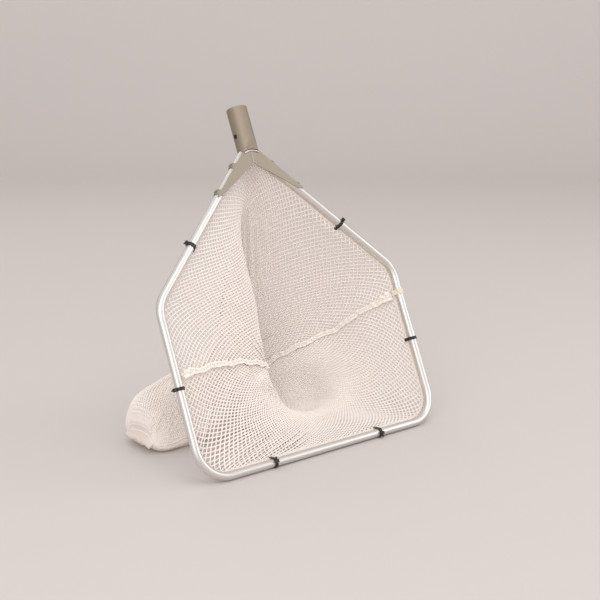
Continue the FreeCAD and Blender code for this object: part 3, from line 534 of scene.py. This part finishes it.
class Panel:
    """The lattice of one panel, laid on the bag between two of its columns.

    A joint is at every second point of a grid, as on a chessboard, and the threads run along
    its diagonals. A joint less than a step past the cut's edge is brought onto it, and those
    further out are left out.
    """

    def __init__(self, first, last):
        rows = bag.rows
        cols = np.arange(first, last + 1)
        ring = bag.target[:, cols % bag.count]
        steps = np.linalg.norm(np.diff(ring, axis=1), axis=-1)
        run = np.concatenate([np.zeros((rows, 1)), np.cumsum(steps, axis=1)], axis=1)
        fall = np.linalg.norm(np.diff(ring, axis=0), axis=-1).mean(axis=1)
        drop = np.concatenate([[0.0], np.cumsum(fall)])
        self.wide = run[0, -1]
        self.long = drop[-1]
        self.across = int(round(self.wide / MESH_HALF_ACROSS))
        self.down = int(round(self.long / MESH_HALF_DOWN))
        i, j = np.meshgrid(np.arange(self.across + 1), np.arange(self.down + 1), indexing="ij")
        cut = np.interp(j / self.down, (0.0, TAPER_FROM, 1.0), (1.0, 1.0, TOE_MESHES))
        share = (i / self.across - 0.5) / cut + 0.5
        edge = 1.0 / (self.across * cut)
        self.inside = ((i + j) % 2 == 0) & (share > -edge) & (share < 1 + edge)
        row = np.interp(j * self.long / self.down, drop, np.arange(rows))
        col = self.column_at(row, np.clip(share, 0.0, 1.0), run, cols)
        self.place = bag.at(row, col)
        self.normal = bag.inwards(row, col)

    @staticmethod
    def column_at(row, share, run, cols, samples=257):
        """The bag's column at a share of the panel's width, by length, in a fractional row."""
        even = np.linspace(0.0, 1.0, samples)
        table = np.array([np.interp(even * line[-1], line, cols) for line in run])
        r0 = np.clip(np.floor(row).astype(int), 0, len(run) - 2)
        tr = row - r0
        place = share * (samples - 1)
        s0 = np.clip(np.floor(place).astype(int), 0, samples - 2)
        ts = place - s0
        return ((table[r0, s0] * (1 - ts) + table[r0, s0 + 1] * ts) * (1 - tr)
                + (table[r0 + 1, s0] * (1 - ts) + table[r0 + 1, s0 + 1] * ts) * tr)

    def flat(self):
        """The panel's width and length before it is cut to its taper, in metres."""
        return float(self.wide) * MM, float(self.long) * MM

    def diagonals(self, way):
        """Runs of joints that lie inside the cut, along every thread that leans one way."""
        for start in range(-self.down, self.across + self.down + 1):
            jj = np.arange(self.down + 1)
            ii = start + way * jj
            ok = (ii >= 0) & (ii <= self.across)
            ii, jj = ii[ok], jj[ok]
            if start % 2 or len(ii) < 2:
                continue
            ends = np.flatnonzero(np.diff(np.concatenate([[0], self.inside[ii, jj].astype(int), [0]])))
            for a, b in zip(ends[::2], ends[1::2]):
                yield self.place[ii[a:b], jj[a:b]], self.normal[ii[a:b], jj[a:b]]

    def threads(self):
        """Every thread, one way over the other, each slightly uneven in its width."""
        parts = []
        rng = np.random.default_rng(THREAD_SEED)
        for way in (1, -1):
            for line, normal in self.diagonals(way):
                apart = np.linalg.norm(np.diff(line, axis=0), axis=1) > NEAREST_JOINTS
                good = np.concatenate([[True], apart])
                line, normal = line[good], normal[good]
                if len(line) < 2:
                    continue
                side, up = frames_along(line, normal)
                uneven = rng.standard_normal(len(line)).clip(-THREAD_UNEVEN_MOST, THREAD_UNEVEN_MOST)
                width = THREAD_HALF_WIDTH * (1 + THREAD_UNEVEN * uneven)
                parts.append(rod(line + normal * (THREAD_LIFT * way), side, up, width,
                                 THREAD_HALF_DEPTH))
        return join(parts)

    def joints(self):
        """A small eight-sided grain at each place where two threads are braided together."""
        centre, normal = self.place[self.inside], self.normal[self.inside]
        along = unit(np.gradient(self.place, axis=0))[self.inside]
        down = unit(np.cross(normal, along))
        tips = [along * GRAIN_HALF, down * GRAIN_HALF, along * -GRAIN_HALF, down * -GRAIN_HALF,
                normal * GRAIN_HALF_DEPTH, normal * -GRAIN_HALF_DEPTH]
        verts = np.stack([centre + tip for tip in tips], axis=1).reshape(-1, 3)
        one = np.array([(k, (k + 1) % 4, 4) for k in range(4)]
                       + [((k + 1) % 4, k, 5) for k in range(4)])
        faces = (one[None] + 6 * np.arange(len(centre))[:, None, None]).reshape(-1, 3)
        return verts, faces, verts[:, :2] * MM

    def pieces(self, name, node):
        """The threads and the joints as two pieces that stand for the panel's solid."""
        threads = make_piece(name, *self.threads(), node, "netting", floor=NET_FLOOR)
        joints = make_piece(name + "_joints", *self.joints(), node, "netting", floor=NET_FLOOR)
        return threads, joints


upper_panel = Panel(0, bag.split)
net_upper, upper_joints = upper_panel.pieces("netting_upper", "net_upper_panel")
lower_panel = Panel(bag.split, bag.count)
net_lower, lower_joints = lower_panel.pieces("netting_lower", "net_lower_panel")


# The hem: netting rolled into a cord, with its threads wound over it both ways

HEM_STEP = 3.0
HEM_PLUMP = 0.92
HEM_UNEVEN = 0.10
WOUND_STEP = 1.6
WOUND_LENGTH = 14.4
WOUND_EACH_WAY = 3
WOUND_OUT = HEM_R * 0.96
WOUND_HALF_WIDTH = 0.9
WOUND_HALF_DEPTH = 0.5
hem_loop = Loop(rounded_loop(HEM_OFFSET))


def hem_line(low, high, step):
    """Points of the hem between two lengths round its loop, and those lengths."""
    length = np.linspace(low, high, int((high - low) / step))
    flat = hem_loop.at(length)
    return in_room(flat[:, 0], flat[:, 1], -HEM_BACK), length


def hem_piece(name, node, low, high, seed):
    """One half of the hem, a little uneven, with its wound threads."""
    path, length = hem_line(low, high, HEM_STEP)
    width = HEM_R * (HEM_PLUMP + HEM_UNEVEN * wobble(length, seed, (9.0, 14.0, 23.0)))
    depth = HEM_R * (HEM_PLUMP + HEM_UNEVEN * wobble(length, seed + 1, (8.0, 17.0, 29.0)))
    parts = [line_rod(path, FRONT, width, depth, corners=10)]
    centre, length = hem_line(low, high, WOUND_STEP)
    side, up = frames_along(centre, FRONT)
    for way in (1, -1):
        for start in range(WOUND_EACH_WAY):
            angle = way * length / WOUND_LENGTH * 2 * math.pi + start * 2 * math.pi / WOUND_EACH_WAY
            out = side * np.cos(angle)[:, None] + up * np.sin(angle)[:, None]
            parts.append(line_rod(centre + out * WOUND_OUT, out, WOUND_HALF_WIDTH, WOUND_HALF_DEPTH))
    return make_piece(name, *join(parts), node, "hem")


left_mark = hem_loop.nearest(BAG_LINES[LEFT_SEAM_LINE][0])
right_mark = hem_loop.nearest(BAG_LINES[RIGHT_SEAM_LINE][0])
hem_lower = hem_piece("hem_lower_roll", "hem_lower", left_mark - hem_loop.total, right_mark, 21)
hem_upper = hem_piece("hem_upper_roll", "hem_upper", right_mark, left_mark, 27)


# Ruffled seams

# Heights are above the bag's surface. The seam is larger at the rim, by SWELL, and strays
# fully only after STRAY_AFTER.
SEAM_STEPS = 520
SEAM_FROM_ROW = 0.4
SEAM_ROWS_SHORT = 1.3
SEAM_STRAY = 2.2
STRAY_AFTER = 30.0
SWELL = 0.9
SWELL_LENGTH = 24.0
FLAP_BANDS = 6
FLAP_WIDTH = 4.9
FLAP_PLUMP = 0.84
FLAP_UNEVEN = 0.2
FLAP_FOOT = 1.2
FLAP_ARCH = 2.6
FLAP_CURVE = 2.4
FLAP_LOWEST = 0.9
FLAP_HALF = 0.5
RUFFLE_HEIGHT = 2.3
ROLL_R = 2.2
ROLL_UNEVEN = 0.5
ROLL_FLATNESS = 0.85
ROLL_HEIGHT = 1.9
STITCH_HEIGHT = 3.9
STITCH_LENGTH = 4.2
STITCH_HALF_WIDTH = 1.1
STITCH_R = 0.35


def seam_flap(line, side, up, length, swell, seed, way):
    """One ruffled flap: a thin sheet that reaches out to one side of the seam."""
    rings = []
    layer = 0 if way > 0 else 1
    for k in range(FLAP_BANDS):
        out = k / (FLAP_BANDS - 1)
        edge = FLAP_PLUMP + FLAP_UNEVEN * wobble(length, seed + 5 + layer, (15.0, 31.0))
        reach = FLAP_WIDTH * out * edge * swell
        wave = RUFFLE_HEIGHT * out * wobble(length, seed + layer, (9.5, 14.0, 22.0))
        rise = (FLAP_FOOT + FLAP_ARCH * math.sin(out * FLAP_CURVE) + wave) * swell
        rise = np.maximum(rise, FLAP_LOWEST)
        rings.append(line + up * rise[:, None] + side * (way * reach)[:, None])
    return sheet_solid(np.array(rings).transpose(1, 0, 2), FLAP_HALF, length)


def seam_piece(name, node, column, seed):
    """The two panels' edges, sewn together: a soft roll with a ruffled flap lying to each side.

    The seam is thicker near the rim and strays a little from its straight line.
    """
    row = np.linspace(SEAM_FROM_ROW, bag.rows - SEAM_ROWS_SHORT, SEAM_STEPS)
    column = np.full(SEAM_STEPS, float(column))
    line = bag.at(row, column)
    length = run_along(line)
    side, up = frames_along(line, bag.inwards(row, column))
    swell = 1.0 + SWELL * np.exp(-(length / SWELL_LENGTH) ** 2)
    freedom = np.clip(length / STRAY_AFTER, 0.0, 1.0)
    stray = SEAM_STRAY * wobble(length, seed + 3, (43.0, 66.0)) * freedom
    line = line + side * stray[:, None]
    parts = [seam_flap(line, side, up, length, swell, seed, way) for way in (1.0, -1.0)]
    thick = (ROLL_R + ROLL_UNEVEN * wobble(length, seed + 9, (7.0, 12.0))) * swell
    roll = line + up * (ROLL_HEIGHT * swell)[:, None]
    parts.append(rod(roll, side, up, thick, thick * ROLL_FLATNESS, corners=8))
    zigzag = STITCH_HALF_WIDTH * np.sign(np.sin(length / STITCH_LENGTH * 2 * math.pi))
    stitch = line + up * (STITCH_HEIGHT * swell)[:, None] + side * zigzag[:, None]
    parts.append(line_rod(stitch, up, STITCH_R, STITCH_R))
    return make_piece(name, *join(parts), node, "seam_tape", floor=SEAM_FLOOR)


seam_left = seam_piece("seam_left_ruffle", "seam_left", LEFT_SEAM_LINE * ACROSS, 41)
seam_right = seam_piece("seam_right_ruffle", "seam_right", bag.split, 61)


# The sewn toe

# The flaps meet at TOE_LEVEL above the floor, and TOE_EASE bends their way there.
TOE_STEPS = 60
TOE_BANDS = 6
TOE_FLAP = 7.5
TOE_LEVEL = 12.5
TOE_EASE = 0.8
TOE_WAVE = 2.4
TOE_HALF = 0.45
TOE_SEEDS = (86, 90)


def toe_piece():
    """The upper and lower edges of the bag's end, drawn together as two short flaps."""
    ring = bag.points[-1]
    edges = (ring[:bag.split + 1], ring[np.arange(bag.count, bag.split - 1, -1) % bag.count])
    share = np.linspace(0, 1, TOE_STEPS)
    edges = [resample(edge, np.arange(len(edge)), share * (len(edge) - 1)) for edge in edges]
    run = run_along(edges[0])
    parts = []
    for edge, seed in zip(edges, TOE_SEEDS):
        bands = []
        for k in range(TOE_BANDS):
            out = k / (TOE_BANDS - 1)
            level = TOE_LEVEL + (edge[:, 2] - TOE_LEVEL) * (1 - out) ** TOE_EASE
            swing = wobble(run, seed, (15.0, 26.0)) * TOE_WAVE * out
            bands.append(np.stack([edge[:, 0] - TOE_FLAP * out, edge[:, 1], level + swing], -1))
        parts.append(sheet_solid(np.array(bands).transpose(1, 0, 2), TOE_HALF, run))
    return make_piece("toe_flaps", *join(parts), "toe_seam", "seam_tape")


toe = toe_piece()


# The lashing

LASH_TURNS = 6
LASH_HEIGHT = 207.0
LASH_CORD_R = 0.75
LASH_PITCH = 1.45
LASH_GAP = 0.15


def lashing_piece(steps=40, even_steps=48):
    """Cord wound round the tube and the hem together, turn beside turn."""
    round_tube = TUBE_R + LASH_GAP + LASH_CORD_R
    round_hem = HEM_R + LASH_GAP + LASH_CORD_R
    towards_hem = math.atan2(HEM_BACK, -HEM_OFFSET)
    swing = math.acos((round_tube - round_hem) / math.hypot(HEM_OFFSET, HEM_BACK))
    points, outs = [], []
    for k in range(LASH_TURNS * steps + 1):
        a = 2 * math.pi * k / steps
        height = LASH_HEIGHT + (k / steps - LASH_TURNS / 2) * LASH_PITCH
        c, s = math.cos(a), math.sin(a)
        if abs((a - towards_hem + math.pi) % (2 * math.pi) - math.pi) < swing:
            x, y = -HEM_OFFSET + round_hem * c, HEM_BACK + round_hem * s
        else:
            x, y = round_tube * c, round_tube * s
        points.append(in_room(HALF_WIDTH + x, height, -y))
        outs.append(in_room(HALF_WIDTH + x + c, height, -y - s) - points[-1])
    length = run_along(np.array(points))
    even = np.linspace(0, length[-1], LASH_TURNS * even_steps)
    line = resample(np.array(points), length, even)
    out = resample(np.array(outs), length, even)
    return make_piece("lashing_cord_right", *line_rod(line, out, LASH_CORD_R, LASH_CORD_R, corners=8),
                      "seam_lashing_right", "lashing_cord")


lashing = lashing_piece()


# Finishes

def shade(r, g, b):
    """A colour given as it looks on a screen, 0 to 255, made linear."""
    out = []
    for c in (r, g, b):
        c /= 255.0
        out.append(c / 12.92 if c <= 0.04045 else ((c + 0.055) / 1.055) ** 2.4)
    return (*out, 1.0)


class Wire:
    """A value in a finish that can be used in sums."""

    def __init__(self, finish, socket):
        self.finish = finish
        self.socket = socket

    def sum_with(self, how, a, b):
        """A Math node of two values."""
        return self.finish.add("Math", {"operation": how}, {0: a, 1: b})

    def __add__(self, other):
        return self.sum_with("ADD", self, other)

    def __radd__(self, other):
        return self.sum_with("ADD", other, self)

    def __mul__(self, other):
        return self.sum_with("MULTIPLY", self, other)

    def __rmul__(self, other):
        return self.sum_with("MULTIPLY", other, self)


class Finish:
    """One material and the nodes in it."""

    def __init__(self, name):
        self.material = bpy.data.materials.new(name)
        self.material.use_nodes = True
        self.tree = self.material.node_tree
        self.tree.nodes.clear()

    def add(self, kind, settings=None, sockets=None, out=0):
        """A node of a kind, its settings set before its sockets. Gives one of its outputs."""
        node = self.tree.nodes.new("ShaderNode" + kind)
        for key, value in (settings or {}).items():
            setattr(node, key, value)
        for key, value in (sockets or {}).items():
            if isinstance(value, Wire):
                self.tree.links.new(value.socket, node.inputs[key])
            else:
                node.inputs[key].default_value = value
        return Wire(self, node.outputs[out]) if len(node.outputs) else node

    def here(self):
        """The object's own coordinates."""
        return self.add("TexCoord", out=3)

    def blend(self, share, first, second):
        """One colour turning into another by a share."""
        return self.add("Mix", {"data_type": "RGBA"}, {0: share, 6: first, 7: second}, out=2)

    def noise(self, scale, detail=3.0, stretch=None):
        """Fine uneven values over the object's own coordinates."""
        where = self.here()
        if stretch:
            where = self.add("Mapping", sockets={"Vector": where, "Scale": stretch})
        return self.add("TexNoise", {}, {"Vector": where, "Scale": scale, "Detail": detail,
                                         "Roughness": 0.55})

    def surface(self, colour, rough, bump=None, **uniform):
        """The shader: colour and roughness may vary, every other value is the same all over."""
        sockets = {"Base Color": colour, "Roughness": rough}
        if bump is not None:
            height, strength, distance = bump
            sockets["Normal"] = self.add("Bump", {}, {"Height": height, "Strength": strength,
                                                      "Distance": distance})
        for key, value in uniform.items():
            sockets[key.replace("_", " ")] = value
        shader = self.add("BsdfPrincipled", {}, sockets)
        self.add("OutputMaterial", {}, {"Surface": shader})
        return self.material


def spread(wire, low, high):
    """A value between 0 and 1 spread between two numbers."""
    return wire * (high - low) + low


def thread_finish(name, light, dark):
    """Spun cotton or nylon thread, lightly soiled."""
    f = Finish(name)
    wide = f.noise(38.0)
    fine = f.noise(900.0, 2.0)
    colour = f.blend(wide * 0.6 + fine * 0.4, shade(*dark), shade(*light))
    return f.surface(colour, spread(fine, 0.55, 0.8), (fine, 0.35, 0.0004),
                     Sheen_Weight=0.15, Sheen_Roughness=0.5, Specular_IOR_Level=0.35)


def tube_finish():
    """Drawn aluminium tube, with faint lines and small dull spots."""
    f = Finish("drawn_aluminium")
    drawn = f.noise(60.0, 4.0, stretch=(1.0, 14.0, 14.0))
    spots = f.noise(320.0, 2.0)
    colour = f.blend(drawn, shade(214, 209, 205), shade(232, 228, 225))
    rough = spread(drawn * 0.7 + spots * 0.3, 0.29, 0.48)
    return f.surface(colour, rough, (drawn, 0.06, 0.0003), Metallic=1.0)


def brushed_finish(name, low, high, stretch):
    """Brushed metal, with its lines drawn out by the stretch."""
    f = Finish(name)
    lines = f.noise(70.0, 5.0, stretch=stretch)
    dull = f.noise(45.0, 3.0)
    colour = f.blend(lines * 0.6 + dull * 0.4, shade(*low), shade(*high))
    rough = spread(lines * 0.6 + dull * 0.4, 0.5, 0.68)
    return f.surface(colour, rough, (lines, 0.12, 0.0003), Metallic=1.0)


def weld_finish():
    """Bright weld bead with small frozen pools."""
    f = Finish("weld_bead")
    pools = f.noise(420.0, 2.0)
    tint = f.noise(90.0, 2.0)
    colour = f.blend(tint, shade(214, 206, 196), shade(240, 237, 232))
    return f.surface(colour, spread(pools, 0.2, 0.45), (pools, 0.5, 0.0006), Metallic=1.0)


def tie_finish():
    """Black nylon of the cable ties, slightly worn."""
    f = Finish("black_nylon")
    grain = f.noise(600.0, 2.0)
    wear = f.noise(120.0, 3.0)
    colour = f.blend(wear, shade(22, 21, 20), shade(42, 40, 38))
    return f.surface(colour, spread(wear, 0.32, 0.5), (grain, 0.2, 0.0002), Specular_IOR_Level=0.5)


def ruffle_finish(name, light, dark):
    """Netting gathered so closely that it looks like cloth."""
    f = Finish(name)
    weave = f.add("TexVoronoi", {"feature": "F1"}, {"Vector": f.here(), "Scale": 420.0})
    wide = f.noise(60.0)
    colour = f.blend(weave * 0.7 + wide * 0.3, shade(*light), shade(*dark))
    return f.surface(colour, spread(wide, 0.6, 0.85), (weave, 0.6, 0.0008), Sheen_Weight=0.15,
                     Specular_IOR_Level=0.3)


net_threads = thread_finish("netting_thread", (253, 244, 238), (245, 235, 229))
hem_threads = thread_finish("hem_thread", (250, 240, 230), (238, 226, 214))
seam_cloth = ruffle_finish("seam_ruffle_cloth", (255, 249, 242), (248, 239, 230))
# The toe flaps get the seams' gathered netting painted darker, as painted shade where the bag's toe
# lies in shade.
toe_cloth_painted_shade = ruffle_finish("toe_flap_cloth_painted_shade", (238, 225, 216), (226, 212, 203))
cord_cotton = thread_finish("lashing_cotton", (250, 244, 230), (230, 218, 198))
aluminium = tube_finish()
bracket_metal = brushed_finish("brushed_bracket", (163, 153, 140), (181, 171, 157), (9.0, 2.0, 2.0))
socket_metal = brushed_finish("brushed_socket", (150, 137, 120), (176, 164, 149), (8.0, 8.0, 1.2))
rivet_metal = brushed_finish("rivet_steel", (150, 142, 130), (182, 174, 162), (3.0, 3.0, 3.0))
weld_metal = weld_finish()
mitre_metal = brushed_finish("ground_mitre", (180, 170, 155), (200, 191, 177), (3.0, 3.0, 3.0))
black_nylon = tie_finish()


def dress(piece, material):
    """Give a piece its finish in every slot."""
    if not piece.material_slots:
        piece.data.materials.append(material)
    for slot in piece.material_slots:
        slot.material = material


for piece, material in (
    (net_upper, net_threads), (net_lower, net_threads), (upper_joints, net_threads),
    (lower_joints, net_threads), (hem_upper, hem_threads), (hem_lower, hem_threads),
    (seam_left, seam_cloth), (seam_right, seam_cloth), (toe, toe_cloth_painted_shade), (lashing, cord_cotton),
):
    dress(piece, material)

NODE_FINISH = {
    "hoop_tube": aluminium, "bracket_leg_left": bracket_metal, "bracket_leg_right": bracket_metal,
    "bracket_rivets": rivet_metal, "pole_socket": socket_metal, "socket_weld_front": weld_metal,
    "socket_weld_back": weld_metal, "mitre_weld": mitre_metal,
}
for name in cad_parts:
    if name.startswith("tie_"):
        NODE_FINISH[name] = black_nylon
for name, material in NODE_FINISH.items():
    dress(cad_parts[name], material)


# Floor, light and camera, in metres

CAMERA_TURN = math.radians(-38.42614)
CAMERA_DOWN = math.radians(13.17784)
CAMERA_PLACE = (-0.97734, -1.28840, 0.58497)
CAMERA_LENS = 65.8
CAMERA_SENSOR = 36.0

# Places along the floor from front to back. After the last one it bends up.
FLOOR_LINE = (-14.0, -2.0, 0.0, 2.0, 3.2)
FLOOR_HALF_WIDTH = 16.0
FLOOR_TURN = math.radians(-38.4)
BACKDROP_BEND_R = 1.5
BACKDROP_TOP = 6.0
BEND_STEPS = 12

# Each light's name, place, width in metres and power in watts.
LIGHT_AIM = Vector((0.0, 0.0, 0.2))
LIGHTS = (
    ("key_softbox", (-2.3, -1.7, 1.8), 2.2, 25.0),
    ("right_softbox", (2.3, -1.6, 1.0), 2.0, 15.0),
    ("top_softbox", (-0.2, -1.5, 2.8), 2.0, 15.0),
    ("back_softbox", (0.4, 2.2, 2.6), 1.6, 10.0),
)
AIR_COLOUR = (1.0, 0.99, 0.98, 1.0)
AIR_STRENGTH = 0.80


def painted_light_paper():
    """Pale paper with painted light: darker on the floor, lighter up the backdrop where less light
    falls.
    """
    f = Finish("studio_paper_painted_light")
    grain = f.noise(6.0, 2.0)
    height = f.add("SeparateXYZ", {}, {"Vector": f.here()}, out=2)
    rise = f.add("MapRange", {}, {"Value": height, "From Min": 0.0, "From Max": 1.6,
                                  "To Min": 0.0, "To Max": 1.0})
    # Painted light: the paper is lighter up the backdrop, which the lamps reach less, and darker on
    # the floor.
    colour = f.blend(rise * 0.96 + grain * 0.04, shade(209, 202, 199), shade(232, 225, 222))
    return f.surface(colour, 0.9, Specular_IOR_Level=0.1)


def stage_sheet():
    """A floor that curves up into a backdrop, square to the camera."""
    line = [(y, 0.0) for y in FLOOR_LINE]
    for k in range(1, BEND_STEPS + 1):
        a = math.pi / 2 * k / BEND_STEPS
        line.append((FLOOR_LINE[-1] + BACKDROP_BEND_R * math.sin(a),
                     BACKDROP_BEND_R - BACKDROP_BEND_R * math.cos(a)))
    line.append((FLOOR_LINE[-1] + BACKDROP_BEND_R, BACKDROP_TOP))
    c, s = math.cos(FLOOR_TURN), math.sin(FLOOR_TURN)
    verts = [(x * c - y * s, x * s + y * c, z)
             for y, z in line for x in (-FLOOR_HALF_WIDTH, FLOOR_HALF_WIDTH)]
    faces = [(2 * k, 2 * k + 1, 2 * k + 3, 2 * k + 2) for k in range(len(line) - 1)]
    mesh = bpy.data.meshes.new("studio_floor")
    mesh.from_pydata(verts, [], faces)
    mesh.polygons.foreach_set("use_smooth", [True] * len(faces))
    mesh.materials.append(painted_light_paper())
    put_in_scene("studio_floor", mesh)


def area_light(name, place, size, power):
    """A round softbox that faces the net."""
    light = bpy.data.lights.new(name, "AREA")
    light.shape = "DISK"
    light.size = size
    light.energy = power
    lamp = put_in_scene(name, light)
    lamp.location = place
    lamp.rotation_euler = (LIGHT_AIM - Vector(place)).to_track_quat("-Z", "Y").to_euler()


def studio_air():
    """The plain light of the room."""
    world = bpy.data.worlds.new("studio_air")
    bpy.context.scene.world = world
    world.use_nodes = True
    nodes = world.node_tree.nodes
    nodes.clear()
    background = nodes.new("ShaderNodeBackground")
    background.inputs["Color"].default_value = AIR_COLOUR
    background.inputs["Strength"].default_value = AIR_STRENGTH
    output = nodes.new("ShaderNodeOutputWorld")
    world.node_tree.links.new(background.outputs[0], output.inputs[0])


def photo_camera():
    """The photograph's camera, as solved from the hoop's outline. It is level across."""
    data = bpy.data.cameras.new("photo_view")
    data.lens = CAMERA_LENS
    data.sensor_width = CAMERA_SENSOR
    camera = put_in_scene("photo_view", data)
    camera.location = CAMERA_PLACE
    camera.rotation_euler = (math.pi / 2 - CAMERA_DOWN, 0.0, CAMERA_TURN)
    bpy.context.scene.camera = camera


stage_sheet()
for light in LIGHTS:
    area_light(*light)
studio_air()
photo_camera()
bpy.context.scene.view_settings.view_transform = "Standard"
